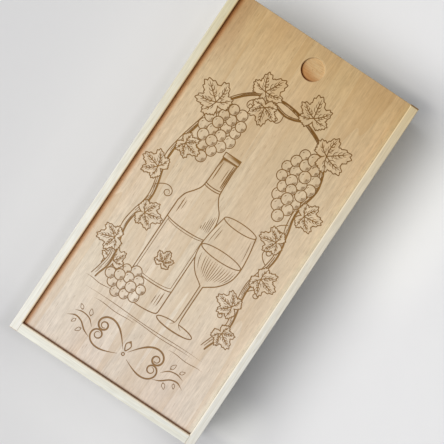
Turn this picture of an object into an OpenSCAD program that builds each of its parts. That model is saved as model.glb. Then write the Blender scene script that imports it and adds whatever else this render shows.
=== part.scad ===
// Two-bottle wine box with a sliding lid.
// Every board is profiled, cut to length and assembled as on the bench: the two sides carry
// through grooves for the lid and the base, the foot and head boards butt between them and are
// pinned with brads, and a halved cross insert keeps two bottles apart.
// Frame: origin at the middle of the footprint, X across, Y from foot to head, Z up.

/* [Box] */
// Outside length, foot to head
box_length = 353; // [330:1:400]
// Outside width
box_width = 190; // [184:1:230]
// Outside height
box_height = 100; // [96:1:130]

/* [Boards] */
// Thickness of the two long sides
side_thick = 8; // [7:0.5:12]
// Thickness of the foot and head boards
end_thick = 8.5; // [7:0.5:12]
// Depth of the lid and base grooves
groove_depth = 3.5; // [2:0.5:4]
// Thickness of the plywood base
base_thick = 4; // [3:0.5:6]
// Height of the base above the lower edge of the sides
base_lift = 4; // [3:0.5:8]
// Radius of the arris along the inner top edge of the sides and the foot
inner_arris = 1.2; // [0.4:0.1:1.5]
// Radius of the arris on every other outer edge
outer_arris = 0.8; // [0.3:0.1:1.2]
// Radius of the rounding where the rim of each side meets its head end
head_round = 2.6; // [0.8:0.1:3.5]

/* [Lid] */
// Thickness of the plywood lid
lid_thick = 4; // [3:0.5:5]
// Height of the lip left above the lid
lip_height = 5.5; // [2:0.5:8]
// Diameter of the thumb recess
recess_diameter = 21; // [15:0.5:30]
// Depth of the thumb recess
recess_depth = 2.2; // [0.5:0.1:2.4]
// Distance from the head edge of the lid to the middle of the thumb recess
recess_inset = 22; // [18:0.5:60]

/* [Bottles] */
// Largest body diameter of the bottles
bottle_diameter = 76; // [70:1:80]
// Diameter of the bottle necks
neck_diameter = 29; // [26:0.5:34]
// Distance from the foot board to the middle of the neck rest
neck_reach = 279; // [250:1:285]

/* [Insert] */
// Thickness of the lengthwise divider
divider_thick = 5; // [4:0.5:8]
// Thickness of the neck rest
rest_thick = 8; // [6:0.5:10]
// Width of the guide strips beside the divider
guide_width = 8; // [6:0.5:12]
// Thickness of the guide strips
guide_thick = 5; // [3:0.5:8]

/* [Brads] */
// Diameter of the brad shanks
brad_diameter = 1.2; // [1:0.1:1.6]
// Diameter of the brad heads
brad_head = 2; // [1.8:0.1:3]
// Overall length of the brads
brad_length = 25; // [20:1:35]
// Brads in each corner
brads_per_corner = 3; // [2:1:4]

/* [Hidden] */

// Finishes
pine = "#e9e2c8";
pine_end = "#e2d8b8";
beech_ply = "#cfae80";
insert_ply = "#dcc59c";
steel = "#8f9296";

// Clearances
lid_play_up = 0.3;      // under the lip
lid_play_side = 0.4;    // to each groove floor
base_play = 0.1;        // glued fit of the base in its groove
head_gap = 0.2;         // the head board stays clear of the sliding lid
insert_play = 0.15;     // halved joint, each cheek
insert_end_play = 0.4;  // insert to the boards round it
guide_play = 0.2;       // divider to each guide strip
divider_headroom = 1.2; // divider to the underside of the lid
brad_play = 0.05;       // radial, brad to hole
brad_set = 0.3;         // heads punched below the face

// Levels and inner faces
inner_half_width = box_width / 2 - side_thick;
inner_half_length = box_length / 2 - end_thick;
base_top = base_lift + base_thick;
groove_top = box_height - lip_height;
lid_bottom = groove_top - lid_play_up - lid_thick;

// Lid
lid_half_width = inner_half_width + groove_depth - lid_play_side;
lid_foot = -(inner_half_length + groove_depth - lid_play_side);
lid_arris = 0.6;
lid_corner = 1.5;
spur_radius = 0.9; // centre mark left by the bit that cut the recess
spur_depth = 0.5;

// Insert
bay_centre = (inner_half_width + divider_thick / 2) / 2;
seat_radius = neck_diameter / 2 + 1.5;
seat_centre = base_top + bottle_diameter / 2 - neck_diameter / 2 + seat_radius;
rest_top = seat_centre + 4.5;
rest_y = -inner_half_length + neck_reach;
lap_level = (base_top + rest_top) / 2;
divider_top = lid_bottom - divider_headroom;
divider_corner = 4;
guide_top = divider_top - 6;
seat_ease = 1; // bevel round each bottle seat

// Brads
brad_head_thick = 0.6;
brad_point = 2;
brad_margin = 16; // first brad above the lower edge
brad_y = box_length / 2 - end_thick / 2;
foot_brad_top = lid_bottom - 9;
head_brad_top = lid_bottom - 13;

arc_steps = 4;
overcut = 1;

// Outline from corners [x, y, radius], each rounded by an arc
function unit(v) = v / norm(v);
function corner(before, at, after) =
  let (r = at[2], p = [at[0], at[1]])
  r == 0 ? [p] :
  let (
    a = unit([before[0], before[1]] - p),
    b = unit([after[0], after[1]] - p),
    half = acos(a * b) / 2,
    centre = p + unit(a + b) * r / sin(half),
    first = p + a * r / tan(half) - centre,
    last = p + b * r / tan(half) - centre,
    sweep = 180 - 2 * half
  )
  [for (k = [0 : arc_steps])
    centre + (first * sin(sweep * (1 - k / arc_steps)) + last * sin(sweep * k / arc_steps)) / sin(sweep)];
function rounded(c) =
  let (n = len(c))
  [for (i = [0 : n - 1]) each corner(c[(i + n - 1) % n], c[i], c[(i + 1) % n])];

// A profile drawn as [across, up] and run along the box, or drawn as [along, up] and run across it
module run_along(from, to) {
  translate([0, to, 0]) rotate([90, 0, 0]) linear_extrude(to - from) children();
}
module run_across(from, to) {
  translate([from, 0, 0]) rotate([90, 0, 90]) linear_extrude(to - from) children();
}

// Long side, drawn on the +X side: both grooves run right through, as a moulder cuts them
module side_profile() {
  outer = box_width / 2;
  inner = inner_half_width;
  floor_x = inner + groove_depth;
  polygon(rounded([
    [outer, 0, outer_arris],
    [outer, box_height, outer_arris],
    [inner, box_height, inner_arris],
    [inner, groove_top, 0],
    [floor_x, groove_top, 0],
    [floor_x, lid_bottom, 0],
    [inner, lid_bottom, 0],
    [inner, base_top + base_play, 0],
    [floor_x, base_top + base_play, 0],
    [floor_x, base_lift, 0],
    [inner, base_lift, 0],
    [inner, 0, 0]
  ]));
}

// Long side seen from outside and from above, with its cut ends eased
module side_envelope() {
  half = box_length / 2;
  outer = box_width / 2;
  inner = inner_half_width - overcut;
  run_across(inner, outer + overcut)
    polygon(rounded([
      [-half, 0, outer_arris], [half, 0, outer_arris],
      [half, box_height, head_round], [-half, box_height, outer_arris]
    ]));
}
module side_plan() {
  half = box_length / 2;
  outer = box_width / 2;
  inner = inner_half_width - overcut;
  translate([0, 0, -overcut]) linear_extrude(box_height + 2 * overcut)
    polygon(rounded([
      [inner, -half, 0], [outer, -half, outer_arris],
      [outer, half, outer_arris], [inner, half, 0]
    ]));
}
module side_board() {
  difference() {
    intersection() {
      run_along(-box_length / 2, box_length / 2) side_profile();
      side_envelope();
      side_plan();
    }
    brad_row(-brad_y, foot_brad_top, brad_play);
    brad_row(brad_y, head_brad_top, brad_play);
  }
}
module left_side() {
  color(pine) mirror([1, 0, 0]) side_board();
}
module right_side() {
  color(pine) side_board();
}

// Foot board: full height, grooved on its inner face for the lid and the base
module foot_board() {
  outer = -box_length / 2;
  inner = -inner_half_length;
  floor_y = inner - groove_depth;
  color(pine_end) difference() {
    run_across(-inner_half_width, inner_half_width)
      polygon(rounded([
        [outer, 0, outer_arris],
        [inner, 0, 0],
        [inner, base_lift, 0],
        [floor_y, base_lift, 0],
        [floor_y, base_top + base_play, 0],
        [inner, base_top + base_play, 0],
        [inner, lid_bottom, 0],
        [floor_y, lid_bottom, 0],
        [floor_y, groove_top, 0],
        [inner, groove_top, 0],
        [inner, box_height, inner_arris],
        [outer, box_height, outer_arris]
      ]));
    both_sides() brad_row(-brad_y, foot_brad_top, brad_play);
  }
}

// Head board: stops just under the lid, which slides out over it
module head_board() {
  outer = box_length / 2;
  inner = inner_half_length;
  floor_y = inner + groove_depth;
  top = lid_bottom - head_gap;
  color(pine_end) difference() {
    run_across(-inner_half_width, inner_half_width)
      polygon(rounded([
        [inner, 0, 0],
        [outer, 0, outer_arris],
        [outer, top, lid_arris],
        [inner, top, outer_arris],
        [inner, base_top + base_play, 0],
        [floor_y, base_top + base_play, 0],
        [floor_y, base_lift, 0],
        [inner, base_lift, 0]
      ]));
    both_sides() brad_row(brad_y, head_brad_top, brad_play);
  }
}

// Base: plywood, let into the grooves of all four boards
module base_panel() {
  reach = groove_depth - insert_play;
  half_width = inner_half_width + reach;
  half_length = inner_half_length + reach;
  color(beech_ply) translate([-half_width, -half_length, base_lift])
    cube([2 * half_width, 2 * half_length, base_thick]);
}

// Lid: plywood, its long edges and foot edge eased to run in the grooves, its head edge flush
module lid() {
  head = box_length / 2;
  top = lid_bottom + lid_thick;
  color(beech_ply) difference() {
    intersection() {
      run_along(lid_foot, head)
        polygon(rounded([
          [-lid_half_width, lid_bottom, lid_arris], [lid_half_width, lid_bottom, lid_arris],
          [lid_half_width, top, lid_arris], [-lid_half_width, top, lid_arris]
        ]));
      run_across(-lid_half_width, lid_half_width)
        polygon(rounded([
          [lid_foot, lid_bottom, lid_arris], [head, lid_bottom, lid_arris],
          [head, top, lid_arris], [lid_foot, top, lid_arris]
        ]));
      translate([0, 0, lid_bottom - overcut]) linear_extrude(lid_thick + 2 * overcut)
        polygon(rounded([
          [-lid_half_width, lid_foot, lid_corner], [lid_half_width, lid_foot, lid_corner],
          [lid_half_width, head, 0], [-lid_half_width, head, 0]
        ]));
    }
    translate([0, head - recess_inset, top - recess_depth]) {
      cylinder(h = recess_depth + overcut, d = recess_diameter, $fn = 96);
      translate([0, 0, -spur_depth])
        cylinder(h = spur_depth + 0.01, r1 = 0.05, r2 = spur_radius, $fn = 32);
    }
  }
}

// Divider: stands on the base between its guides, halved from below over the neck rest
module divider() {
  half = inner_half_length - insert_end_play;
  slot_half = rest_thick / 2 + insert_play;
  color(insert_ply) run_across(-divider_thick / 2, divider_thick / 2)
    polygon(rounded([
      [-half, base_top, 0],
      [rest_y - slot_half, base_top, 0],
      [rest_y - slot_half, lap_level + insert_play, 0],
      [rest_y + slot_half, lap_level + insert_play, 0],
      [rest_y + slot_half, base_top, 0],
      [half, base_top, 0],
      [half, divider_top, divider_corner],
      [-half, divider_top, divider_corner]
    ]));
}

// One bottle seat: a round bottom open at the top, with both faces bevelled
module neck_seat() {
  back = rest_y + rest_thick / 2;
  translate([bay_centre, back, seat_centre]) rotate([90, 0, 0]) {
    seat_cutter();
    seat_bevel();
    translate([0, 0, rest_thick]) mirror([0, 0, 1]) seat_bevel();
  }
}
module seat_cutter() {
  run = rest_thick + 2 * overcut;
  translate([0, 0, -overcut]) {
    cylinder(h = run, r = seat_radius, $fn = 72);
    translate([-seat_radius, 0, 0]) cube([2 * seat_radius, rest_top - seat_centre + overcut, run]);
  }
}
module seat_bevel() {
  cylinder(h = seat_ease, r1 = seat_radius + seat_ease, r2 = seat_radius, $fn = 72);
}

// Neck rest: crosses the box on the base, two seats and a halved slot for the divider
module neck_rest() {
  half = inner_half_width - insert_end_play;
  slot_half = divider_thick / 2 + insert_play;
  color(insert_ply) difference() {
    run_along(rest_y - rest_thick / 2, rest_y + rest_thick / 2)
      polygon(rounded([
        [-half, base_top, 0],
        [half, base_top, 0],
        [half, rest_top, divider_corner],
        [slot_half, rest_top, 0],
        [slot_half, lap_level, 0],
        [-slot_half, lap_level, 0],
        [-slot_half, rest_top, 0],
        [-half, rest_top, divider_corner]
      ]));
    both_sides() neck_seat();
  }
}

// Guide strip, drawn at the foot on the +X side: a pair at each end keeps the divider upright
module guide_strip() {
  near = divider_thick / 2 + guide_play;
  far = near + guide_width;
  wall = -inner_half_length;
  color(pine_end) translate([0, 0, base_top]) linear_extrude(guide_top - base_top)
    polygon(rounded([
      [near, wall, 0], [far, wall, 0],
      [far, wall + guide_thick, outer_arris], [near, wall + guide_thick, outer_arris]
    ]));
}
module foot_guide_left() {
  mirror([1, 0, 0]) guide_strip();
}
module foot_guide_right() {
  guide_strip();
}
module head_guide_left() {
  mirror([0, 1, 0]) mirror([1, 0, 0]) guide_strip();
}
module head_guide_right() {
  mirror([0, 1, 0]) guide_strip();
}

// Brads through the +X side into an end board; grow widens them into their own holes
module brad_row(y, top, grow = 0) {
  step = (top - brad_margin) / (brads_per_corner - 1);
  for (i = [0 : brads_per_corner - 1])
    translate([box_width / 2 - brad_set, y, brad_margin + i * step]) rotate([0, -90, 0]) brad(grow);
}
module brad(grow) {
  shank_end = brad_length - brad_point;
  open = grow > 0 ? overcut : 0;
  radius = brad_diameter / 2 + grow;
  translate([0, 0, -open]) cylinder(h = brad_head_thick + open + grow, r = brad_head / 2 + grow, $fn = 32);
  cylinder(h = shank_end, r = radius, $fn = 32);
  translate([0, 0, shank_end]) cylinder(h = brad_point + grow, r1 = radius, r2 = 0.1 + grow, $fn = 32);
}
module foot_brads_left() {
  color(steel) mirror([1, 0, 0]) brad_row(-brad_y, foot_brad_top);
}
module foot_brads_right() {
  color(steel) brad_row(-brad_y, foot_brad_top);
}
module head_brads_left() {
  color(steel) mirror([1, 0, 0]) brad_row(brad_y, head_brad_top);
}
module head_brads_right() {
  color(steel) brad_row(brad_y, head_brad_top);
}

// The children on both sides of the middle plane
module both_sides() {
  children();
  mirror([1, 0, 0]) children();
}

left_side();
right_side();
foot_board();
head_board();
base_panel();
lid();
divider();
neck_rest();
foot_guide_left();
foot_guide_right();
head_guide_left();
head_guide_right();
foot_brads_left();
foot_brads_right();
head_brads_left();
head_brads_right();
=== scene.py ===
import random
from math import atan, cos, dist, exp, hypot, pi, radians, sin
import bmesh
import bpy
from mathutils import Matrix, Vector, kdtree
from mathutils.geometry import delaunay_2d_cdt, intersect_point_line


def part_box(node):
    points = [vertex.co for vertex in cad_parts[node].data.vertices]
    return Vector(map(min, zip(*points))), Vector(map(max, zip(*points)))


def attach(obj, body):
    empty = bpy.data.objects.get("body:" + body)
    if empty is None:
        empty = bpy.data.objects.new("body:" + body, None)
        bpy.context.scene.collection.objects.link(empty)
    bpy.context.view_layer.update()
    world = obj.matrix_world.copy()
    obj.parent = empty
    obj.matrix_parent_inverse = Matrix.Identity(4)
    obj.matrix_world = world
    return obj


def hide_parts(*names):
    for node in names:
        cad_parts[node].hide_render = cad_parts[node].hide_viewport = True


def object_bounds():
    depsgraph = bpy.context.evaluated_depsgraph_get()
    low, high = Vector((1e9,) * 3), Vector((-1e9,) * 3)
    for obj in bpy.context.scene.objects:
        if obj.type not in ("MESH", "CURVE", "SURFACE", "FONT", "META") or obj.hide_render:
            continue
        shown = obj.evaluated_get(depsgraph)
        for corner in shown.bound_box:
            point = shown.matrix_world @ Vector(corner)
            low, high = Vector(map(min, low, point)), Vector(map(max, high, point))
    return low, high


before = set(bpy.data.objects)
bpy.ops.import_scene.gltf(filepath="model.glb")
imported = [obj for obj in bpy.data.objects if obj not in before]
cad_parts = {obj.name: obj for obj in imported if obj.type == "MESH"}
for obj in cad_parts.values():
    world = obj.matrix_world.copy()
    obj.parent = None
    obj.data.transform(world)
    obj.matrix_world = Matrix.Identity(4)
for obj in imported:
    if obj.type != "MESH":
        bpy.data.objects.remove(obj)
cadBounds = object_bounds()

print("frame loaded:", len(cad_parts), "nodes")
mm = 0.001

# camera and light

camera = {
    "turn": 33.8,  # degrees that the box lies turned
    "aboveRim": 1.3,  # metres from the rim of the box to the lens
    "view": 0.3834,  # metres of rim level across the square view
    "aim": (0.0077, 0.0006),  # the point of the box in the middle of the view
}
light = {
    "from": 211.0,  # turn of the window, degrees from +X
    "height": 64.0,  # degrees above the table
    "distance": 6.0, "width": 4.3, "tall": 3.4, "watts": 299.0, "colour": (1.0, 0.99, 0.97),
    "sky": 0.26, "skyColour": (0.96, 0.98, 1.0),
}
floor = {
    "size": 8.0, "roughness": 0.6, "cloudScale": (40, 40, 40), "cloudShare": 0.06,
    # painted light and shade: the floor is painted darker at the foot's left and lighter at the head's right
    "near": (217, 217, 219), "far": (245, 245, 247),  # at the foot's left and at the head's right
    "run": (0.9, 0.4), "reach": 0.26,  # the way to far, and metres from the middle to either
    # painted shade beside the sides that face the window, a wide band and a narrow contact shadow, and the
    # metres that they reach
    "windowWay": (-0.86, -0.51), "windowFade": (-0.03, 0.07),
    "beside": (240, 240, 241), "besideReach": (0.0, 0.07),
    "contactShadow": (244, 244, 243), "contactShadowReach": (0.012, 0.024),
    # painted shadow at the head and past the foot's right corner, and painted light that lifts the shadow
    # beside the right side
    "paintedShadowsAndLight": [  # tint, how it is laid on, then where x and y rise and fall, in metres
        ((226, 227, 229), "MULTIPLY", (-0.03, 0.09), (0.1, 0.125), (0.1765, 0.1815), (0.1915, 0.2045)),
        ((255, 255, 255), "MIX", (0.095, 0.1), (0.16, 0.22), (-0.02, 0.07), (0.17, 0.2)),
        ((255, 255, 255), "MIX", (0.095, 0.1), (0.125, 0.16), (-0.172, -0.16), (-0.145, -0.115)),
        ((228, 228, 229), "MULTIPLY", (0.03, 0.1), (0.105, 0.14), (-0.222, -0.188), (-0.182, -0.165)),
    ],
}


def paint(levels):
    # levels from 0 to 255 become the linear values that Blender mixes
    shares = [level / 255 for level in levels]
    return (*(s / 12.92 if s <= 0.04045 else ((s + 0.055) / 1.055) ** 2.4 for s in shares), 1.0)


def added(name, data):
    made = bpy.data.objects.new(name, data)
    bpy.context.collection.objects.link(made)
    return made


def makeCamera():
    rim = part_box("left_side")[1][2]
    data = bpy.data.cameras.new("camera")
    data.sensor_fit = "HORIZONTAL"
    data.angle = 2 * atan(camera["view"] / 2 / camera["aboveRim"])
    data.clip_start = 0.01
    view = added("camera", data)
    view.location = (*camera["aim"], rim + camera["aboveRim"])
    view.rotation_euler = (0, 0, radians(camera["turn"]))
    bpy.context.scene.camera = view


def makeLight():
    data = bpy.data.lights.new("window", "AREA")
    data.shape = "RECTANGLE"
    data.size, data.size_y = light["width"], light["tall"]
    data.energy, data.color = light["watts"], light["colour"]
    lamp = added("window", data)
    turn, rise = radians(light["from"]), radians(light["height"])
    way = Vector((cos(turn) * cos(rise), sin(turn) * cos(rise), sin(rise)))
    lamp.location = way * light["distance"]
    lamp.rotation_euler = way.to_track_quat("Z", "Y").to_euler()
    world = bpy.data.worlds.new("studio")
    world.use_nodes = True
    sky = world.node_tree.nodes["Background"]
    sky.inputs["Color"].default_value = (*light["skyColour"], 1.0)
    sky.inputs["Strength"].default_value = light["sky"]
    bpy.context.scene.world = world


# shader sums written as sums

def operator(operation, flipped=False):
    def apply(value, *other):
        inputs = (*other, value) if flipped else (value, *other)
        return value.graph.node("Math", {"operation": operation}, dict(enumerate(inputs)))
    return apply


class Value:
    # wraps an output socket; each operator adds its Math node
    def __init__(self, graph, socket):
        self.graph, self.socket = graph, socket

    __add__ = __radd__ = operator("ADD")
    __sub__ = operator("SUBTRACT")
    __rsub__ = operator("SUBTRACT", True)
    __mul__ = __rmul__ = operator("MULTIPLY")
    __truediv__ = operator("DIVIDE")
    __rtruediv__ = operator("DIVIDE", True)
    __abs__ = operator("ABSOLUTE")
    least = operator("MINIMUM")
    most = operator("MAXIMUM")
    root = operator("SQRT")
    part = operator("FRACT")

    def between(self, low, high):
        # 0 below low, 1 above high, eased between
        return self.graph.node("MapRange", {"interpolation_type": "SMOOTHSTEP"}, {
            "Value": self, "From Min": low, "From Max": high})


class Graph:
    # the nodes of one material
    def __init__(self, name):
        self.material = bpy.data.materials.new(name)
        self.material.use_nodes = True
        self.tree = self.material.node_tree
        self.tree.nodes.clear()

    def node(self, kind, settings=None, values=None, output=0):
        made = self.tree.nodes.new("ShaderNode" + kind)
        for name, setting in (settings or {}).items():
            if name == "stops":
                elements = made.color_ramp.elements
                while len(elements) < len(setting):
                    elements.new(0.5)
                for element, (place, level) in zip(elements, setting):
                    element.position, element.color = place, (level, level, level, 1)
            else:
                setattr(made, name, setting)
        for name, value in (values or {}).items():
            if isinstance(value, Value):
                self.tree.links.new(value.socket, made.inputs[name])
            else:
                made.inputs[name].default_value = value
        return Value(self, made.outputs[output] if made.outputs else None)

    def axis(self, vector, name):
        return self.node("SeparateXYZ", None, {0: vector}, name)

    def place(self, order="XYZ"):
        # the object's own metres, reordered to run along, across and through the grain
        xyz = self.node("TexCoord", output="Object")
        along, across, through = (self.axis(xyz, name) for name in order)
        return self.node("CombineXYZ", None, {0: along, 1: across, 2: through})

    def facing(self, axis):
        return abs(self.axis(self.node("TexCoord", output="Normal"), axis))

    def attribute(self, name):
        return self.node("Attribute", {"attribute_name": name}, output="Fac")

    def shifted(self, vector, amount):
        return self.node("VectorMath", {"operation": "ADD"}, {0: vector, 1: amount})

    def noise(self, vector, scale, detail=2.0, roughness=0.5):
        # scale is how many features fit in a metre along each axis
        stretched = self.node("VectorMath", {"operation": "MULTIPLY"}, {0: vector, 1: scale})
        return self.node("TexNoise", None, {
            "Vector": stretched, "Scale": 1.0, "Detail": detail, "Roughness": roughness})

    def mix(self, share, first, second, blend="MIX"):
        # a colour is a socket, or three levels from 0 to 255
        first, second = (one if isinstance(one, Value) else paint(one) for one in (first, second))
        return self.node("Mix", {"data_type": "RGBA", "blend_type": blend}, {
            0: share, 6: first, 7: second}, 2)

    def tint(self, share, colour, shade):
        return self.mix(share, colour, shade, "MULTIPLY")

    def finish(self, colour, roughness, height=None, relief=0.0, metallic=0.0, index=1.45):
        values = {"Base Color": colour, "Roughness": roughness, "Metallic": metallic, "IOR": index}
        if height is not None:
            values["Normal"] = self.node("Bump", None, {"Height": height, "Distance": relief})
        shader = self.node("BsdfPrincipled", None, values)
        self.node("OutputMaterial", None, {"Surface": shader})
        return self.material


# wood

grain = {
    # features in a metre along, across and through the grain, and where the noise starts to show
    "fibreScale": (34, 1100, 1100), "wobbleScale": (30, 110, 110), "rippleScale": (22, 120, 120),
    "patchScale": (7, 26, 26), "patchFrom": (0.35, 0.7),
    "streakScale": (7, 170, 170), "streakFrom": (0.5, 0.75),
    # from pale early wood to a dark late edge
    "ring": ((0.0, 0.0), (0.5, 0.16), (0.82, 0.85), (0.93, 1.0), (1.0, 0.0)),
    "fibreHeight": 0.6, "figureHeight": 0.25, "fleckDepth": 0.8,
}
pine = {
    "pale": (244, 244, 238), "deep": (224, 215, 192), "contrast": 0.75, "edgeContrast": 0.35,
    "patch": (239, 235, 223), "patchShare": 0.5,
    "streak": (230, 223, 204), "streakShare": 0.35,
    "fleck": (206, 188, 156), "fleckShare": 0.5, "fleckScale": (70, 1300, 1300), "fleckFrom": (0.70, 0.78),
    "fibreShare": 0.36, "mottle": 0.36, "mottleScale": (60, 560, 560), "roughness": 0.62, "relief": 0.00012,
    "ring": 0.0031, "sway": 0.022, "swayScale": (4.5, 7, 7), "wobble": 0.0016, "lean": 0.03,
    "endPale": (212, 188, 150), "endDeep": (176, 144, 102), "endShare": 0.8, "endRough": 0.2,
    # pale sanded arris with a painted highlight
    "arris": (255, 248, 232), "arrisShare": 0.95, "arrisReach": 0.0016,
    "joint": -1.0, "jointWidth": 0.0004, "seam": (255, 255, 255),
    # painted shade on the inner wall around the lid: metres past its face, and metres below the rim
    "paintedWallShade": (255, 255, 255), "wallShadeFace": (0.0001, 0.0003), "wallShadeDepths": (0.012, 0.009, 0.0022, 0.0012),
    # share of the painted shade on the rounded corners at the head
    "paintedEndShadeShare": 0.8, "tone": (255, 255, 255), "fades": [],
}
beech = {
    "pale": (240, 229, 213), "deep": (226, 213, 195), "contrast": 0.6,
    "patch": (237, 219, 202), "patchShare": 0.45,
    "streak": (221, 203, 179), "streakShare": 0.45,
    "fleck": (184, 156, 128), "fleckShare": 0.4, "fleckScale": (120, 1200, 1200), "fleckFrom": (0.66, 0.76),
    "fibreShare": 0.16, "mottle": 0.3, "mottleScale": (130, 460, 460), "roughness": 0.55, "relief": 0.0001,
    "bandScale": (2.6, 15, 15), "bandCount": 5.0, "ripple": 0.5,
    "edgeScale": (1.0, 17, 17), "edgeCount": 6.0, "edge": (222, 200, 172), "edgeShare": 0.55,
    "ring": 0.0024, "sway": 0.02, "swayScale": (5, 8, 8), "wobble": 0.001, "lean": 0.05, "pith": (0.03, 0.06),
    # shares of the thickness: each face, the soft change to the core, and the line of glue
    "layers": 0.28, "layerEdge": 0.01, "glueLine": (0.008, 0.03), "glue": (112, 80, 54), "glueShare": 0.7,
    "core": (248, 233, 216), "coreShare": 0.6, "coreRough": 0.15,
}


def rings(g, local, look):
    # growth rings of a sawn board, met wherever a face cuts them
    sway = (g.noise(local, look["swayScale"], 1.0) - 0.5) * look["sway"]
    wobble = (g.noise(local, grain["wobbleScale"]) - 0.5) * look["wobble"]
    across = g.axis(local, "Y") - look["pith"][0] + sway + g.axis(local, "X") * look["lean"]
    through = g.axis(local, "Z") - look["pith"][1]
    radius = (across * across + through * through).root() + wobble
    return g.node("ValToRGB", {"stops": grain["ring"]}, {"Fac": (radius / look["ring"]).part()})


def bands(g, local, look):
    # a peeled veneer follows the rings, so its figure wanders in wide soft bands
    drift = g.noise(local, look["bandScale"], 2.0, 0.45) * look["bandCount"]
    ripple = g.noise(local, grain["rippleScale"]) * look["ripple"]
    return 1 - abs((drift + ripple).part() * 2 - 1)


def timber(g, local, look, figure):
    # colour and height of bare wood: fine lengthwise fibres under patches, streaks and dark flecks
    fine = g.noise(local, grain["fibreScale"], 3.0, 0.6)
    cover = {name: g.noise(local, grain[name + "Scale"]).between(*grain[name + "From"])
             for name in ("patch", "streak")}
    fleck = cover["fleck"] = g.noise(local, look["fleckScale"], 1.0).between(*look["fleckFrom"])
    colour = g.mix(figure, look["pale"], look["deep"])
    for name, share in cover.items():
        colour = g.mix(share * look[name + "Share"], colour, look[name])
    mottle = g.noise(local, look["mottleScale"], 2.0, 0.6)
    even = 1 - (look["fibreShare"] + look["mottle"]) / 2
    colour = g.tint(1.0, colour, fine * look["fibreShare"] + mottle * look["mottle"] + even)
    height = fine * grain["fibreHeight"] + figure * grain["figureHeight"] - fleck * grain["fleckDepth"]
    return colour, height


def faded(g, colour, fades):
    # the wood darkens slowly along an axis, from start to end
    for axis, start, end, bend, shade in fades:
        run = ((g.axis(g.place(), axis) - start) / (end - start)).most(0.0).least(1.0)
        colour = g.tint(run * (run * bend + (1 - bend)), colour, shade)
    return colour


def boardMaterial(name, order, changes):
    # solid pine; order says which axes run along, across and through the board
    look = dict(pine, **changes)
    g = Graph(name)
    local = g.shifted(g.place(order), look["shift"])
    figure = rings(g, local, look)
    # the wide faces are cut along the rings and show them boldly
    wide = g.facing(order[2]).between(0.5, 0.9)
    bold = wide * (look["contrast"] - look["edgeContrast"]) + look["edgeContrast"]
    colour, height = timber(g, local, look, figure * bold)
    colour = g.tint(1.0, colour, look["tone"])
    xyz = g.place()
    if "rim" in look:
        # the sanded arris is paler wood with a painted highlight laid on it: a pale line up to the joint
        axis, at, rim = look["rim"]
        level = g.axis(xyz, "Z")
        clear = g.axis(xyz, "Y").between(look["joint"], look["joint"] + look["jointWidth"])
        outward = abs(g.axis(xyz, axis)) - at
        near = 1 - abs(outward).most(abs(level - rim)).between(look["arrisReach"] * 0.5, look["arrisReach"])
        colour = g.mix(near * clear * look["arrisShare"], colour, look["arris"])
        colour = g.mix(near * (1 - clear), colour, look["seam"])
        # painted shade on the inner wall around the lid, set only on the left and foot walls
        start, full, fade, stop = (rim - depth for depth in look["wallShadeDepths"])
        wall = (1 - outward.between(*look["wallShadeFace"])) * level.between(start, full) * clear
        colour = g.tint(wall * (1 - level.between(fade, stop)), colour, look["paintedWallShade"])
    end = g.facing(order[0]).between(0.2, 0.6)
    colour = g.mix(end * look["endShare"], colour, g.mix(figure, look["endPale"], look["endDeep"]))
    if "headDarkening" in look:
        # painted shade on the rounded corners at the head, which face away from the lamp
        slope = end * (1 - g.facing(order[0]).between(0.93, 0.99)) * g.axis(xyz, "Y").between(0.0, 0.1)
        colour = g.mix(slope * look["paintedEndShadeShare"], colour, look["headDarkening"])
    roughness = look["roughness"] + end * look["endRough"] + figure * 0.05
    return g.finish(faded(g, colour, look["fades"]), roughness, height, look["relief"])


def plywood(g, order, low, thick, look):
    # three layers: both faces run along, the core runs across
    local = g.shifted(g.place(order), look["shift"])
    colour, height = timber(g, local, look, bands(g, local, look) * look["contrast"])
    # the late wood of each ring ends in a sharp edge
    late = (g.noise(local, look["edgeScale"], 1.5, 0.45) * look["edgeCount"]).part()
    colour = g.mix(late * late * late * look["edgeShare"], colour, look["edge"])
    crossed = g.shifted(g.place(order[1] + order[0] + order[2]), look["shift"])
    coreColour = timber(g, crossed, look, rings(g, crossed, look) * look["contrast"])[0]
    coreColour = g.mix(look["coreShare"], coreColour, look["core"])
    depth = (g.axis(g.place(order), "Z") - low) / thick
    first, last = look["layers"], 1 - look["layers"]
    soft = look["layerEdge"]
    core = depth.between(first - soft, first + soft) * (1 - depth.between(last - soft, last + soft))
    colour = g.mix(core, colour, coreColour)
    lines = [1 - abs(depth - level).between(*look["glueLine"]) for level in (first, last)]
    flat = g.facing(order[2]).between(0.3, 0.6)
    colour = g.mix(lines[0].most(lines[1]) * (1 - flat) * look["glueShare"], colour, look["glue"])
    return colour, look["roughness"] + core * look["coreRough"], height


def plywoodMaterial(name, order, box, shift):
    look = dict(beech, shift=shift)
    low, high = (corner["XYZ".index(order[2])] for corner in box)
    g = Graph(name)
    colour, roughness, height = plywood(g, order, low, high - low, look)
    return g.finish(colour, roughness, height, look["relief"])


brads = {
    "colour": (168, 166, 160), "dull": (120, 116, 108), "dullFrom": (0.4, 0.75),
    "scuffScale": (2600, 2600, 2600), "roughness": 0.22, "scuffRough": 0.3, "relief": 0.00002,
}


def bradMaterial():
    g = Graph("bradSteel")
    scuff = g.noise(g.place(), brads["scuffScale"], 3.0, 0.6)
    colour = g.mix(scuff.between(*brads["dullFrom"]), brads["colour"], brads["dull"])
    return g.finish(colour, scuff * brads["scuffRough"] + brads["roughness"], scuff, brads["relief"], 1.0)


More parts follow.
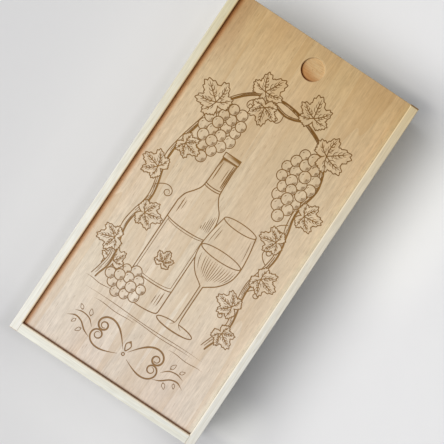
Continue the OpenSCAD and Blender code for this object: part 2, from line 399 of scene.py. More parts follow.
def floorMaterial():
    g = Graph("paleFloor")
    place = g.place()
    x, y = g.axis(place, "X"), g.axis(place, "Y")
    run = x * floor["run"][0] + y * floor["run"][1]
    colour = g.mix(run.between(-floor["reach"], floor["reach"]), floor["near"], floor["far"])
    cloud = g.noise(place, floor["cloudScale"])
    colour = g.mix(cloud * floor["cloudShare"], colour, floor["near"])
    half, end = cadBounds[1][:2]
    away = (abs(x) - half).most(abs(y) - end)
    wayX, wayY = floor["windowWay"]
    # painted shade beside the sides that face the window
    for name in ("beside", "contactShadow"):
        near = 1 - away.between(*floor[name + "Reach"])
        colour = g.tint(near * (x * wayX + y * wayY).between(*floor["windowFade"]), colour, floor[name])
    # painted shadow and painted light in patches
    for shade, blend, xRise, xFall, yRise, yFall in floor["paintedShadowsAndLight"]:
        zone = x.between(*xRise) * (1 - x.between(*xFall)) * y.between(*yRise) * (1 - y.between(*yFall))
        colour = g.mix(zone, colour, shade, blend)
    return g.finish(colour, cloud * 0.1 + floor["roughness"])


# drawing for the lid, in millimetres: x across, y towards the head

def turned(point, angle, at=(0, 0), size=1.0):
    c, s = cos(angle), sin(angle)
    x, y = point[0] * size, point[1] * size
    return (at[0] + c * x - s * y, at[1] + s * x + c * y)


def along(a, b, share):
    return (a[0] + (b[0] - a[0]) * share, a[1] + (b[1] - a[1]) * share)


def bothSides(half, x, y):
    return [[(x + hand * p[0], y + p[1]) for p in half] for hand in (1, -1)]


def upright(x, low, length, count=40, lean=0.0):
    return [(x - lean * k, low + length * k / count) for k in range(count + 1)]


def curveThrough(points, step=0.5):
    # Catmull-Rom curve through given points, close-spaced
    ends = [along(points[1], points[0], 2), *points, along(points[-2], points[-1], 2)]
    curve = []
    for i in range(1, len(ends) - 2):
        p0, p1, p2, p3 = ends[i - 1:i + 3]
        count = max(2, round(dist(p1, p2) / step))
        for k in range(count):
            t = k / count
            curve.append(tuple(
                0.5 * (2 * p1[j] + (p2[j] - p0[j]) * t + (2 * p0[j] - 5 * p1[j] + 4 * p2[j] - p3[j]) * t ** 2
                       + (3 * p1[j] - p0[j] - 3 * p2[j] + p3[j]) * t ** 3) for j in (0, 1)))
    return curve + [points[-1]]


def oval(centre, across, up, start=0, end=360, step=0.5):
    count = max(8, round(abs(end - start) / 360 * 2 * pi * max(across, up) / step))
    angles = [radians(start + (end - start) * k / count) for k in range(count + 1)]
    return [(centre[0] + across * cos(a), centre[1] + up * sin(a)) for a in angles]


def curl(start, heading, length, turns, easing):
    # a line whose bend grows towards its end, as a tendril's does
    count = max(8, round(length * 2))
    points, (x, y) = [start], start
    for k in range(count):
        angle = radians(heading) + 2 * pi * turns * ((k + 0.5) / count) ** easing
        x += cos(angle) * length / count
        y += sin(angle) * length / count
        points.append((x, y))
    return points


def offsetLine(points, distance):
    # the line beside another one; distance may vary along it
    result = []
    for i, p in enumerate(points):
        a, b = points[max(i - 1, 0)], points[min(i + 1, len(points) - 1)]
        length = dist(a, b) or 1
        d = distance(i / (len(points) - 1))
        result.append((p[0] - (b[1] - a[1]) / length * d, p[1] + (b[0] - a[0]) / length * d))
    return result


def inside(point, outline):
    x, y = point
    return sum((ay > y) != (by > y) and x < (bx - ax) * (y - ay) / (by - ay) + ax
               for (ax, ay), (bx, by) in zip(outline, outline[1:] + outline[:1])) % 2


def runs(points, wanted):
    # the unbroken runs of wanted points, without the shortest
    found = [[]]
    for p in points:
        if wanted(p):
            found[-1].append(p)
        else:
            found.append([])
    return [run for run in found if len(run) > 4]


pens = {"fine": 0.6, "slim": 0.9, "line": 0.95, "bold": 1.15, "heavy": 1.9}
rng = random.Random(7)
strokes = []  # (points, width, taper at either end) of each line drawn


def line(points, pen, taper=(0.35, 0.35), share=1):
    if len(points) > 2:
        strokes.append((points, pens[pen] * share, taper))


def hide(outline):
    low, high = ([end(p[j] for p in outline) for j in (0, 1)] for end in (min, max))

    def seen(p):
        return not (low[0] < p[0] < high[0] and low[1] < p[1] < high[1] and inside(p, outline))

    strokes[:] = [(run, width, taper if len(run) == len(points) else (0.8, 0.8))
                  for points, width, taper in strokes for run in runs(points, seen)]


def shape(outline, pen):
    # a later shape hides what lies behind it
    hide(outline)
    line(outline + outline[:2], pen, (1, 1))


def clipped(points, outline, taper):
    for run in runs(points, lambda p: inside(p, outline)):
        line(run, "fine", taper)


vine = {
    "lobes": [(0, 1.0, 34), (52, 0.86, 26), (-52, 0.86, 26), (104, 0.66, 24), (-104, 0.66, 24)],
    "teeth": 30, "tooth": 0.055, "steps": 300, "ribTurn": 42, "hatches": 4,
    "grape": 5.2, "light": 150,  # radius in mm, and the side of the glint in degrees
    "stem": (4.6, 1.4),
}


def leafRadius(degrees):
    reach = 0.5
    for middle, length, spread in vine["lobes"]:
        away = (degrees - middle) / spread
        reach = max(reach, 0.5 + (length - 0.5) * exp(-away * away * 1.6))
    gap = max(0.0, 1 - abs(abs(degrees) - 180) / 30)
    return reach * (1 - 0.72 * gap ** 0.8)


def leaf(base, angle, size, curlSide=0.0):
    # vine leaf; base is where its stalk meets the blade, angle points to its tip
    angle = radians(angle)

    def onLeaf(points):
        return [turned(p, angle, base, size) for p in points]

    outline = []
    for k in range(vine["steps"]):
        degrees = -180 + 360 * (k + 0.5) / vine["steps"]
        saw = (k * vine["teeth"] / vine["steps"]) % 1
        reach = leafRadius(degrees) * (1 - vine["tooth"] + 2 * vine["tooth"] * (1 - abs(2 * saw - 0.7)))
        reach *= 1 + 0.03 * sin(degrees / 23 + size)
        turn = radians(degrees) * (1 - 0.06 * curlSide)
        outline.append(turned((reach, curlSide * reach * reach), angle + turn, base, size))
    shape(outline, "line")
    for middle, length, _ in vine["lobes"]:
        veinAngle = radians(middle * 0.96)
        tip = (cos(veinAngle) * length * 0.93, sin(veinAngle) * length * 0.93)
        side = 0.05 * (1 if middle > 0 else -1 if middle < 0 else curlSide)
        mid = (tip[0] * 0.5 - tip[1] * side, tip[1] * 0.5 + tip[0] * side)
        vein = [p for p in onLeaf(curveThrough([(0.02, 0), mid, tip], 0.04)) if inside(p, outline)]
        line(vein, "line", (1.0, 0.25))
        # side veins leave in pairs
        pairs = 3 if length > 0.7 else 2
        for n in range(pairs):
            share = 0.28 + 0.6 * n / pairs
            at = vein[min(len(vein) - 1, int(share * len(vein)))]
            for hand in (-1, 1):
                out = angle + veinAngle + hand * radians(vine["ribTurn"])
                reach = size * length * (0.30 - 0.18 * n / pairs)
                rib = curveThrough([at, turned((reach * 0.5, hand * reach * 0.05), out, at),
                                    turned((reach, 0), out - hand * 0.25, at)])
                clipped(rib, outline, (0.9, 0.2))
    # shading beside the middle veins
    for middle, length, _ in vine["lobes"][:3]:
        for n in range(vine["hatches"]):
            start = turned((length * (0.2 + 0.15 * n), 0), radians(middle))
            lean = radians(middle - 24)
            hatch = [turned((0.02 + 0.012 * k, -0.012 * k), lean, start) for k in range(9 - n)]
            clipped(onLeaf(hatch), outline, (0.8, 0.2))


def grape(centre, radius):
    def arc(share, middle, spread, step, taper):
        reach = radius * share
        line(oval(centre, reach, reach, middle - spread, middle + spread, step), "fine", taper)

    shape(oval(centre, radius, radius * 1.04)[:-1], "line")
    for n in range(3):
        arc(0.78 - 0.17 * n, vine["light"] + 180, 46 - 11 * n, 0.4, (0.2, 0.2))
    arc(0.6, vine["light"], 20, 0.3, (0.3, 0.3))


def cluster(top, angle, rows, size=1.0):
    # narrowing rows, those in front hiding the ones behind; angle points to the tip
    radius = vine["grape"] * size
    berries = []
    for row, count in enumerate(rows):
        for n in range(count):
            across = (n - (count - 1) / 2) * radius * 1.72 + rng.uniform(-0.6, 0.6)
            down = row * radius * 1.55 + rng.uniform(-0.7, 0.7) + radius
            depth = 1 - abs(across) / (radius * 4) + rng.uniform(-0.25, 0.25) + 0.05 * row
            centre = turned((down, across), radians(angle), top)
            berries.append((depth, centre, radius * rng.uniform(0.9, 1.06)))
    for _, centre, reach in sorted(berries):
        grape(centre, reach)


def stem(path):
    # two edges that taper along the path, with bark strokes between
    thick, thin = vine["stem"]

    def half(share):
        knot = 1 + 0.22 * max(0.0, sin(share * 31)) ** 6
        return (thick + (thin - thick) * share) / 2 * knot

    left = offsetLine(path, half)
    right = offsetLine(path, lambda share: -half(share))
    hide(left + right[::-1])
    line(left, "line", (0.6, 0.3))
    line(right, "heavy", (0.6, 0.3))
    start = 4
    while start < len(path) - 30:
        length = rng.randint(14, 34)
        place = rng.uniform(-0.5, 0.5)
        share = start / len(path)
        if thick + (thin - thick) * share > 1.6:
            bark = half(share) * place
            line(offsetLine(path[start:start + length], lambda _: bark), "fine", (0.2, 0.2))
        start += rng.randint(7, 15)


bottleShape = {
    "at": (-15.0, -98.0), "radius": 20,
    "profile": [(19.5, 0), (20, 3), (20, 50), (20, 88), (19.6, 95), (17.4, 102), (12.4, 108.5),
                (9, 114), (7.8, 120), (7.4, 130), (7.2, 146)],
    "bottom": (19.6, 3.4), "lip": (8.0, 146, 151),
    "capsule": (118, 120.2), "capsuleBend": 1.5,
    "label": (24, 78), "labelBend": 3.2, "labelLeaf": (-1, 41, 84, 11.5),
    # reflections down the glass: place across, low end, high end and pen
    "glints": [(-15.5, 84, 99, "line"), (-13, 88, 98, "fine"), (15.5, 6, 20, "line"),
               (13, 5, 18, "fine"), (10.5, 5, 15, "fine"), (4.6, 124, 142, "fine"),
               (2.6, 126, 140, "fine"), (-4.8, 124, 143, "line")],
    "shades": [(6.2, 121.5, 144), (4.9, 122, 144)],
}


def bottle():
    b = bottleShape
    (cx, cy), radius = b["at"], b["radius"]
    half = curveThrough(b["profile"])
    bottom = oval((cx, cy + 1.5), *b["bottom"], 180, 360)
    right, left = bothSides(half, cx, cy)
    shape(bottom + right[6:] + left[:5:-1], "bold")
    reach, low, high = b["lip"]
    lip = [(cx + x, cy + y) for x, y in ((-reach, low), (reach, low), (reach, high), (-reach, high))]
    pairs = zip(lip, lip[1:] + lip[:1])
    shape([along(start, end, k / 20) for start, end in pairs for k in range(20)], "line")
    for level in b["capsule"]:
        reach = next(x for x, y in half if y >= level)
        line(oval((cx, cy + level), reach, b["capsuleBend"], 180, 360), "line", (0.8, 0.8))
    # label: a blank plate with a double frame and a leaf
    low, high = b["label"]
    for inset, pen in ((0, "line"), (2.2, "fine")):
        frames = [oval((cx, cy + low + inset), radius - inset, b["labelBend"], 180, 360),
                  oval((cx, cy + high - inset), radius - inset, b["labelBend"], 360, 180)]
        if inset:
            frames += [upright(cx + hand * (radius - inset), cy + low + inset, high - low - 2 * inset, 60)
                       for hand in (-1, 1)]
        for points in frames:
            line(points, pen, (0.9, 0.9))
    x, y, angle, size = b["labelLeaf"]
    leaf((cx + x, cy + y), angle, size)
    for x, low, high, pen in b["glints"]:
        line(upright(cx + x, cy + low, high - low), pen, (0.2, 0.2))
    for x, low, high in b["shades"]:
        line(upright(cx + x, cy + low, high - low), "bold", (0.6, 0.6))
    # hatching on the shoulder
    for n in range(6):
        line(upright(cx + 17.6 - 1.5 * n, cy + 83, 16 - 0.5 * n * n, 30, 0.02), "fine", (0.3, 0.3))


glassShape = {
    "at": (24.0, -101.0),
    "bowl": [(1.3, 45), (4, 47), (12, 53), (18.6, 63), (20.6, 75), (19.4, 90), (16.4, 106)],
    "stem": [(6.0, 3.0), (2.6, 5.5), (1.5, 10), (1.2, 24), (1.3, 45)],
    "foot": (18.0, 4.0), "rim": 3.8, "wine": 76, "wineBend": 4.4,
    # light on the glass: share of the half width, low end and high end
    "glints": [(-0.82, 80, 100), (-0.66, 84, 97), (0.84, 82, 102)],
}


def glass():
    g = glassShape
    cx, cy = g["at"]
    across, up = g["foot"]
    shape(oval((cx, cy + 2.5), across, up)[:-1], "bold")
    line(oval((cx, cy + 1.8), across - 1.6, up - 1.2, 200, 340), "fine")
    right, left = bothSides(curveThrough(g["stem"]), cx, cy)
    hide(right + left[::-1])
    line(left, "line", (0.3, 1))
    line(right, "bold", (0.3, 1))
    half = curveThrough(g["bowl"])
    right, left = bothSides(half, cx, cy)
    rim = ((cx, cy + half[-1][1]), half[-1][0], g["rim"])
    hide(right + left[::-1] + oval(*rim, 0, 180))
    line(right, "bold", (1, 1))
    line(left, "line", (1, 1))
    line(oval(*rim), "line", (1, 1))
    reach = next(x for x, y in half if y >= g["wine"]) - 0.6
    line(oval((cx, cy + g["wine"]), reach, g["wineBend"]), "line", (1, 1))
    # wine: curved strokes that follow the bowl
    for n in range(15):
        share = 0.93 - 0.125 * n
        low = 50 + 0.9 * abs(n - 7) + rng.uniform(0, 2)
        high = g["wine"] - 4.6 - 1.6 * sin(pi * (n + 1) / 16)
        if share > -0.5 or n % 2 == 0:
            bend = [(cx + share * (x - 0.8), cy + y) for x, y in half if low < y < high]
            line(bend, "fine", (0.3, 0.3))
    for share, low, high in g["glints"]:
        line([(cx + share * x, cy + y) for x, y in half if low < y < high], "fine", (0.2, 0.2))


scroll = {
    "centre": (0, -137), "unit": 116 / 120,
    # start, heading, length, turns, easing and share of the heavy line
    "curls": [((2.5, -2), 52, 74, -1.75, 2.7, 1.0), ((5, -8), -24, 66, 1.6, 2.6, 0.85)],
    "twigs": [([(34, -10), (41, -7), (48, -1.5), (55, 0), (62, -3.5)], 0.75, (0.1, 0.1)),
              ([(37, -1), (43, 4.5), (51, 6), (58, 4)], 0.6, (0.15, 0.15))],
    "petal": [(0, 0), (0.5, 0.32), (1.25, 0), (0.5, -0.3), (0, 0)],
    "petals": [((43, 6.5), 68, 5.5), ((52, 7.6), 45, 4.5), ((44, -6.8), -52, 5), ((52.5, -2.4), -60, 4)],
    "drop": [(0, 7), (2.6, 2.5), (0, -3), (-2.6, 2.5), (0, 7)],
}


def flourish():
    # scrolls that swell and thin, mirrored about the middle
    (cx, cy), unit = scroll["centre"], scroll["unit"]
    for hand in (1, -1):
        def put(points, pen, taper, share=1):
            line([(cx + hand * x * unit, cy + y * unit) for x, y in points], pen, taper, share)

        for start, heading, length, turns, easing, share in scroll["curls"]:
            put(curl(start, heading, length, turns, easing), "heavy", (0.2, 0.4), share)
        for points, share, taper in scroll["twigs"]:
            put(curveThrough(points), "heavy", taper, share)
        for at, angle, size in scroll["petals"]:
            petal = curveThrough(scroll["petal"], 0.08)
            put([turned(p, radians(angle), at, size) for p in petal], "fine", (1, 1))
    drop = [turned(p, 0, (cx, cy + 1.0), unit) for p in curveThrough(scroll["drop"])]
    line(drop, "bold", (1, 1))
    line(oval((cx, cy - 5.5 * unit), 1.3, 1.3), "line", (1, 1))


arbour = {
    "vines": [
        [(54, -99), (62, -72), (57, -36), (63, 2), (56, 40), (60, 72), (46, 99),
         (20, 112), (-8, 116), (-26, 106)],
        [(-60, -99), (-56, -78), (-62, -46), (-57, -14), (-64, 24), (-57, 62), (-47, 92),
         (-24, 112), (4, 108), (26, 116)],
    ],
    "ground": [(-66, -38, -102), (-60, 62, -110.4), (-20, 52, -112.8), (-48, -6, -115.2), (30, 66, -117.6)],
    # start, heading, length and turns
    "tendrils": [
        ((-59, -4), 40, 40, -1.5), ((-58, 62), -40, 34, 1.5), ((58, -40), 60, 30, -1.4),
        ((57, 30), 210, 34, 1.5), ((60, -10), 150, 34, -1.5), ((60, -66), 150, 26, 1.4),
        ((0.5, 108), -75, 26, -1.4), ((26, 116), 20, 24, 1.3), ((-26, 106), 215, 24, 1.3),
    ],
    # top, heading and grapes in each row
    "clusters": [((-38, 92), -92, [3, 4, 4, 4, 3, 2, 1]), ((40, 94), -86, [2, 3, 4, 4, 3, 3, 2, 1])],
    # place, angle, size, sideways curl
    "leaves": [
        ((-62, -62), 200, 16, 0.1), ((-53, -30), 12, 17, -0.1), ((-65, 10), 165, 17, 0.1),
        ((-57, 40), -15, 15, 0.12), ((-54, 84), 140, 22, 0.1),
        ((-24, 115), 62, 20, -0.1), ((-17, 104), -78, 17, 0.1), ((24, 119), 100, 20, 0.1),
        ((51, 98), 38, 22, -0.1), ((64, 44), 8, 17, 0.1), ((57, 12), 192, 16, -0.1),
        ((63, -22), -18, 17, 0.12), ((56, -56), 170, 16, 0.1), ((61, -80), -30, 14, -0.1),
    ],
}


def engraving():
    bottle()
    glass()
    # grapes at the foot of the bottle
    cluster((-52, -84), -14, [2, 3, 4, 3, 2], 0.9)
    leaf((-52, -80), 112, 15, 0.1)
    for left, right, level in arbour["ground"]:
        ground = [(left + (right - left) * k / 80, level + 0.5 * sin(k / 9)) for k in range(81)]
        line(ground, "fine", (0.1, 0.1))
    for points in arbour["vines"]:
        stem(curveThrough(points))
    for start, heading, length, turns in arbour["tendrils"]:
        line(curl(start, heading, length, turns, 2.2), "slim", (0.9, 0.45))
    for top, angle, rows in arbour["clusters"]:
        cluster(top, angle, rows)
    for place, angle, size, side in arbour["leaves"]:
        leaf(place, angle, size, side)
    flourish()


# lid

lid = {
    # mm
    "arris": 0.6, "corner": 1.5, "recess": 10.5, "recessInset": 22.0, "recessDepth": 2.2, "recessEase": 0.2,
    "fillet": 0.15, "floorRings": (8.0, 5.5, 3.0), "spur": 0.9, "spurDepth": 0.5, "sides": 96,
    "depth": 0.2, "depthPerWidth": 0.22, "deepest": 0.55, "tolerance": 0.05, "shortest": 1.2, "reach": 2.5,
    "floorShare": 0.5,  # of each groove's width
    "taperShare": 0.25,  # of a stroke's length, at either end
    "kept": (0.12, 0.25, 0.75, 0.88),  # shares of it where a point always stays
}


def halfWidth(stroke, share):
    _, width, taper = stroke
    rise, fall = (end + (1 - end) * min(1, run / lid["taperShare"])
                  for end, run in zip(taper, (share, 1 - share)))
    return width / 2 * min(1, rise) * min(1, fall)


def thinned(points, first, last):
    # indexes of the points that the curve needs from first to last
    (ax, ay), (bx, by) = points[first], points[last]
    length = hypot(bx - ax, by - ay)

    def away(i):
        x, y = points[i]
        if length < 1e-6:
            return hypot(x - ax, y - ay)
        return abs((bx - ax) * (ay - y) - (ax - x) * (by - ay)) / length

    worst = max(range(first + 1, last), key=away, default=first)
    if away(worst) <= lid["tolerance"]:
        return {first, last}
    return thinned(points, first, worst) | thinned(points, worst, last)


def strokeLoops(stroke):
    # the edges of a groove and those of its floor
    points = stroke[0]
    last = len(points) - 1
    closed = dist(points[0], points[-1]) < 1e-3
    keep = thinned(points, 0, last)
    if closed:
        keep.discard(last)
    else:
        keep |= {round(last * share) for share in lid["kept"]}
    path = []
    for i in sorted(keep):
        before = points[i - 1] if i > 0 else points[-2] if closed else points[0]
        after = points[min(i + 1, last)]
        length = dist(before, after) or 1
        normal = ((before[1] - after[1]) / length, (after[0] - before[0]) / length)
        path.append((points[i], normal, halfWidth(stroke, i / last)))

    def run(share):
        return [(x + nx * half * share, y + ny * half * share) for (x, y), (nx, ny), half in path]

    def tip(end, inner, share):
        reach = halfWidth(stroke, end / last) * share
        outer, other = points[end], points[inner]
        away = dist(outer, other) or 1
        return [tuple(outer[j] + (outer[j] - other[j]) / away * reach for j in (0, 1))]

    for share in (1.0, lid["floorShare"]):
        if closed:
            yield run(share)
            yield run(-share)
        else:
            ends = tip(0, min(2, last), share), tip(last, last - min(2, last), share)
            yield ends[0] + run(share) + ends[1] + run(-share)[::-1]


def grooves(cuts):
    owners = [(stroke, i) for stroke in cuts for i in range(len(stroke[0]))]
    tree = kdtree.KDTree(len(owners))
    for index, (stroke, i) in enumerate(owners):
        tree.insert((*stroke[0][i], 0), index)
    tree.balance()

    def depthAt(x, y):
        # depth of the cut in mm, its share of the full depth, and the heat of the burn
        best = (0.0, 0.0, 0.0)
        spot = Vector((x, y))
        for _, index, away in tree.find_n((x, y, 0), 6):
            if away > lid["reach"]:
                break
            stroke, i = owners[index]
            points, width, _ = stroke
            last = len(points) - 1
            full = min(lid["deepest"], lid["depth"] + lid["depthPerWidth"] * width)
            for a in range(max(i - 1, 0), min(i + 1, last)):
                start, end = Vector(points[a]), Vector(points[a + 1])
                share = max(0.0, min(1.0, intersect_point_line(spot, start, end)[1]))
                half = halfWidth(stroke, (a + share) / last)
                inward = (half - (start.lerp(end, share) - spot).length) / (half * (1 - lid["floorShare"]))
                inward = max(0.0, min(1.0, inward))
                # narrow ends are cut less deep
                cut = inward * full * min(1.0, half / width * 2.4)
                if cut > best[0]:
                    best = (cut, inward, full / lid["deepest"])
        return best

    return depthAt


def lidOutline(low, high, inset):
    # anticlockwise from the foot's left corner, in mm; rounded at the foot
    left, right = low[0] + inset, high[0] - inset
    foot, head = low[1] + inset, high[1] - inset
    radius = max(0.3, lid["corner"] - inset * 0.5)
    outline = []
    for x, turn in ((left + radius, 180), (right - radius, 270)):
        for k in range(7):
            angle = radians(turn + 15 * k)
            outline.append((x + radius * cos(angle), foot + radius + radius * sin(angle)))
    outline += [along((right, foot + radius), (right, head), k / 12) for k in range(1, 12)]
    outline += [along((right, head), (left, head), k / 8) for k in range(9)]
    outline += [along((left, head), (left, foot + radius), k / 12) for k in range(1, 12)]
    return outline


def makeLid():
    low, high = (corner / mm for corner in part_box("lid"))
    top, bottom = high[2], low[2]
    middle = (0.0, high[1] - lid["recessInset"])
    bored = lid["recess"] + lid["recessEase"]
    engraving()
    cuts = [s for s in strokes if sum(dist(a, b) for a, b in zip(s[0], s[0][1:])) > lid["shortest"]]

    def ring(radius):
        angles = [2 * pi * k / lid["sides"] for k in range(lid["sides"])]
        return [(middle[0] + radius * cos(a), middle[1] + radius * sin(a)) for a in angles]

    rim, mouth = lidOutline(low, high, lid["arris"]), ring(bored)
    plan, edges = [], []
    for points in [rim, mouth] + [points for stroke in cuts for points in strokeLoops(stroke)]:
        start, count = len(plan), len(points)
        plan += map(Vector, points)
        edges += [(start + i, start + (i + 1) % count) for i in range(count)]
    print("lid face:", len(cuts), "strokes,", len(plan), "points to triangulate")
    flat, _, faces, sources, _, _ = delaunay_2d_cdt(plan, edges, [], 0, 1e-4)
    place = {source: i for i, group in enumerate(sources) for source in group}
    depthAt = grooves(cuts)
    mesh = bmesh.new()
    burn = mesh.verts.layers.float.new("burn")
    heat = mesh.verts.layers.float.new("heat")

    def point(x, y, level):
        return mesh.verts.new((x * mm, y * mm, level * mm))

    def nextLoop(previous, points, level):
        made = [point(x, y, level) for x, y in points]
        for i in range(len(made)):
            j = (i + 1) % len(made)
            mesh.faces.new((previous[i], previous[j], made[j], made[i]))
        return made

    verts = []
    for x, y in flat:
        depth, share, warmth = depthAt(x, y)
        vert = point(x, y, top - depth)
        vert[burn], vert[heat] = share, warmth
        verts.append(vert)
    for face in faces:
        centre = sum((flat[i] for i in face), Vector((0, 0))) / len(face)
        if (centre - Vector(middle)).length > bored:
            mesh.faces.new([verts[i] for i in face])
    # edges and underside
    loop = [verts[place[i]] for i in range(len(rim))]
    arris = lid["arris"]
    quarter = [(arris * (1 - sin(turn)), arris * (1 - cos(turn)))
               for turn in map(radians, (0, 30, 60, 90))]
    for inset, drop in quarter[1:]:
        loop = nextLoop(loop, lidOutline(low, high, inset), top - drop)
    for rise, inset in quarter:
        loop = nextLoop(loop, lidOutline(low, high, inset), bottom + rise)
    mesh.faces.new(loop)
    # thumb recess with the mark of the bit's spur
    loop = [verts[place[len(rim) + i]] for i in range(len(mouth))]
    radius, fillet, level = lid["recess"], lid["fillet"], top - lid["recessDepth"]
    steps = [(radius, top - lid["recessEase"]), (radius, level + fillet), (radius - fillet, level)]
    for reach, height in steps + [(reach, level) for reach in (*lid["floorRings"], lid["spur"])]:
        loop = nextLoop(loop, ring(reach), height)
    tip = point(*middle, level - lid["spurDepth"])
    for i in range(len(loop)):
        mesh.faces.new((loop[i], loop[(i + 1) % len(loop)], tip))
    # crossing strokes leave a few slivers
    bmesh.ops.dissolve_degenerate(mesh, dist=0.002 * mm, edges=mesh.edges)
    bmesh.ops.recalc_face_normals(mesh, faces=mesh.faces)
    data = bpy.data.meshes.new("engraved_lid")
    mesh.to_mesh(data)
    mesh.free()
    piece = added("engraved_lid", data)
    data.materials.append(lidMaterial(bottom * mm, (top - bottom) * mm, middle[1] * mm))
    print("lid mesh:", len(data.polygons), "faces")
    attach(piece, "lid")
    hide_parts("lid")


lidFinish = {
    "shift": (0.31, 0.12, 0.0), "index": 1.2,
    "pale": (241, 231, 216), "deep": (228, 216, 198), "contrast": 0.5, "edgeShare": 0.45,
    "mottle": 0.4, "fibreShare": 0.46,
    "burnFrom": (0.0, 0.7), "charScale": (160, 160, 160), "charRough": 0.2,
    "charDark": (124, 88, 46), "charPale": (174, 136, 88), "charShare": 0.94,
    "heatFrom": (0.7, 1.0), "charDeep": (54, 25, 2), "heatShare": 0.9,
    "charFades": [("Y", -0.11, 0.12, 0.0, (255, 249, 148)), ("Y", 0.03, 0.1, 0.0, (232, 228, 224))],
    "fades": [("Y", -0.16, 0.166, 0.1, (226, 203, 160)), ("X", -0.09, 0.09, 0.0, (251, 250, 249)),
              ("Y", -0.08, -0.165, 0.0, (243, 240, 241)), ("Y", 0.15, 0.1765, 0.0, (244, 242, 243))],
    "paintedWallShadows": [  # axis, edge, reach and tint of painted shade along the walls, with a cool tint against warm bounced light on the right
        ("X", -0.087, 0.0062, (236, 194, 156)), ("X", 0.0872, 0.005, (247, 254, 255)),
        ("X", 0.0905, 0.0031, (240, 212, 184)), ("X", -0.0872, 0.0014, (206, 156, 106)),
        ("Y", -0.168, 0.0022, (160, 125, 100)),
    ],
    "darkCornerAt": (-0.080, 0.145), "darkCornerReach": (0.004, 0.018), "darkCornerRun": 0.05, "headDarkening": (235, 228, 224),
    # recess: where it starts above the underside and stops below the face, in mm
    "above": (0.8, 1.2), "below": (0.6, 0.3),
    # painted shade, painted highlight and streaks in the recess: tint, way across, and where along that way
    # it starts and ends, in radii
    "paintedFloorShade": (228, 198, 172), "paintedFloorShadeWay": (0.36, 0.93), "paintedFloorShadeRun": (-0.7, 0.3),
    "swirl": (246, 238, 230), "swirlScale": (95, 900, 1), "swirlFrom": (0.42, 0.62),
    # painted highlight on the rim on the lit side
    "litWay": (0.51, 0.86), "litRun": (-0.2, 1.0), "litShare": 0.75, "paintedRimHighlight": (255, 250, 242),
    # painted shade on the recess wall, less on the lit side
    "wall": (168, 116, 56), "wallIn": (0.3, 0.1), "lip": (0.3, 1.1), "lipIn": 0.1,
    # painted shade in a ring on the floor and on the rim, on the side towards the lamp
    "burntWay": (0.6, 0.8), "burntRun": (-1.0, -0.1), "burntIn": (2.4, 0.8), "paintedShadeRing": (220, 194, 156),
    "paintedRimShade": (150, 98, 44),
}


def boredColour(g, colour, look, xyz, low, high, middle):
    # painted shade on the recess's wall, floor and rim on the side towards the lamp, a painted highlight on
    # the lit rim, and streaks across its floor
    x, y, level = g.axis(xyz, "X"), g.axis(xyz, "Y") - middle, g.axis(xyz, "Z")
    away = (x * x + y * y).root()
    radius = lid["recess"] * mm

    def across(name):
        (wayX, wayY), (start, stop) = look[name + "Way"], look[name + "Run"]
        return (x * wayX + y * wayY).between(radius * start, radius * stop)

    def inwards(name):
        return away.between(*(radius - reach * mm for reach in look[name + "In"]))

    upper = level.between(*(low + rise * mm for rise in look["above"]))
    sunk = upper * (1 - level.between(*(high - drop * mm for drop in look["below"])))
    within = sunk * (1 - away.between(radius, radius + mm))
    swirl = g.noise(xyz, look["swirlScale"], 2.0, 0.6).between(*look["swirlFrom"])
    # painted shade over the floor towards the lamp, then the streaks
    colour = g.tint(within * (1 - across("paintedFloorShade")), colour, look["paintedFloorShade"])
    colour = g.tint(within * swirl, colour, look["swirl"])
    # painted shade on the wall, and a painted highlight on the lit rim
    lit = across("lit")
    colour = g.tint(within * inwards("wall") * (1 - lit * look["litShare"]), colour, look["wall"])
    start, stop = look["lip"]
    lip = upper * (1 - abs(away - radius + look["lipIn"] * mm).between(start * mm, stop * mm))
    colour = g.mix(lip * lit * look["litShare"], colour, look["paintedRimHighlight"])
    # painted shade in a ring on the floor and on the rim towards the lamp
    burnt = 1 - across("burnt")
    colour = g.tint(within * burnt * inwards("burnt"), colour, look["paintedShadeRing"])
    return g.tint(lip * burnt, colour, look["paintedRimShade"])


def lidMaterial(low, thick, recess):
    look = dict(beech, **lidFinish)
    g = Graph("lidPlywood")
    colour, roughness, height = plywood(g, "YXZ", low, thick, look)
    xyz = g.place()
    # painted shade along the walls of the box
    for axis, at, reach, shade in look["paintedWallShadows"]:
        near = 1 - abs(g.axis(xyz, axis) - at).between(reach * 0.2, reach)
        colour = g.tint(near, colour, shade)
    # the wood is darker towards the head's left corner
    x, y = look["darkCornerAt"]
    corner = 1 - abs(g.axis(xyz, "X") - x).between(*look["darkCornerReach"])
    corner *= g.axis(xyz, "Y").between(y - look["darkCornerRun"], y)
    colour = g.tint(corner, colour, look["headDarkening"])
    colour = boredColour(g, colour, look, xyz, low, low + thick, recess)
    # engraving
    burn, heat = g.attribute("burn"), g.attribute("heat")
    char = g.mix(g.noise(xyz, look["charScale"], 3.0, 0.6), look["charDark"], look["charPale"])
    char = g.mix(heat.between(*look["heatFrom"]) * look["heatShare"], char, look["charDeep"])
    char = faded(g, char, look["charFades"])
    colour = g.mix(burn.between(*look["burnFrom"]) * look["charShare"], colour, char)
    roughness += burn * look["charRough"]
    return g.finish(faded(g, colour, look["fades"]), roughness, height, look["relief"], index=look["index"])


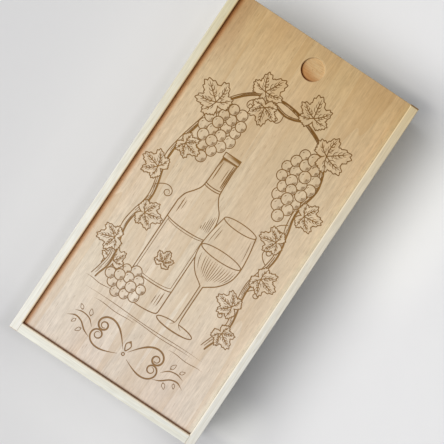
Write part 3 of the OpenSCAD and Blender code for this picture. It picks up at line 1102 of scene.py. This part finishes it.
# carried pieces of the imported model

boards = {
    "left_side": {
        "shift": (0.0, 0.0, 0.0), "pith": (0.052, -0.028), "headDarkening": (140, 112, 78), "paintedWallShade": (246, 214, 180),
        "arris": (255, 236, 204), "seam": (255, 254, 250),
        "fades": [("Y", -0.155, 0.147, 0.95, (233, 224, 196))],
    },
    "right_side": {
        "shift": (0.7, 0.0, 0.0), "pith": (0.046, 0.024), "tone": (242, 241, 240), "headDarkening": (140, 112, 78),
        "arrisReach": 0.0013, "seam": (222, 219, 208),
        "fades": [("Y", -0.155, 0.168, 0.85, (236, 217, 180))],
    },
    "foot_board": {
        "shift": (0.21, 0.0, 0.0), "pith": (0.055, -0.20), "tone": (253, 253, 250), "paintedWallShade": (246, 218, 192),
        "arris": (255, 243, 222),
        "fades": [("X", -0.087, 0.087, 0.0, (246, 246, 246))],
    },
    "head_board": {"shift": (0.43, 0.0, 0.0), "pith": (0.04, 0.21), "tone": (238, 228, 200)},
}
guides = {"pith": (0.05, -0.13), "tone": (246, 240, 226)}


def wear(name, material):
    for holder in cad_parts[name].material_slots:
        holder.material = material


def finishBox():
    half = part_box("right_side")[0][0]
    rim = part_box("right_side")[1][2]
    foot = -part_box("foot_board")[1][1]
    for name in ("left_side", "right_side"):
        look = dict(boards[name], rim=("X", half, rim), joint=-foot)
        wear(name, boardMaterial(name + "Pine", "YZX", look))
    look = dict(boards["foot_board"], rim=("Y", foot, rim))
    wear("foot_board", boardMaterial("footBoardPine", "XZY", look))
    wear("head_board", boardMaterial("headBoardPine", "XZY", boards["head_board"]))
    for i, name in enumerate(("foot_guide_left", "foot_guide_right", "head_guide_left", "head_guide_right")):
        look = dict(guides, shift=(0.11 * i, 0.013 * i, 0.0))
        wear(name, boardMaterial(name + "Pine", "ZXY", look))
    wear("base_panel", plywoodMaterial("basePlywood", "YXZ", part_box("base_panel"), (0.9, 0.4, 0.0)))
    wear("divider", plywoodMaterial("dividerPlywood", "YZX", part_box("divider"), (0.5, 0.7, 0.0)))
    wear("neck_rest", plywoodMaterial("restPlywood", "XZY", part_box("neck_rest"), (0.2, 0.3, 0.0)))
    steel = bradMaterial()
    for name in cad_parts:
        if "brads" in name:
            wear(name, steel)


def makeFloor():
    half = floor["size"] / 2
    corners = [(-half, -half, 0), (half, -half, 0), (half, half, 0), (-half, half, 0)]
    data = bpy.data.meshes.new("floor")
    data.from_pydata(corners, [], [(0, 1, 2, 3)])
    piece = added("floor", data)
    data.materials.append(floorMaterial())


bpy.context.scene.view_settings.view_transform = "Standard"
makeCamera()
makeLight()
makeFloor()
print("camera, light and floor ready")
finishBox()
print("boards finished")
makeLid()
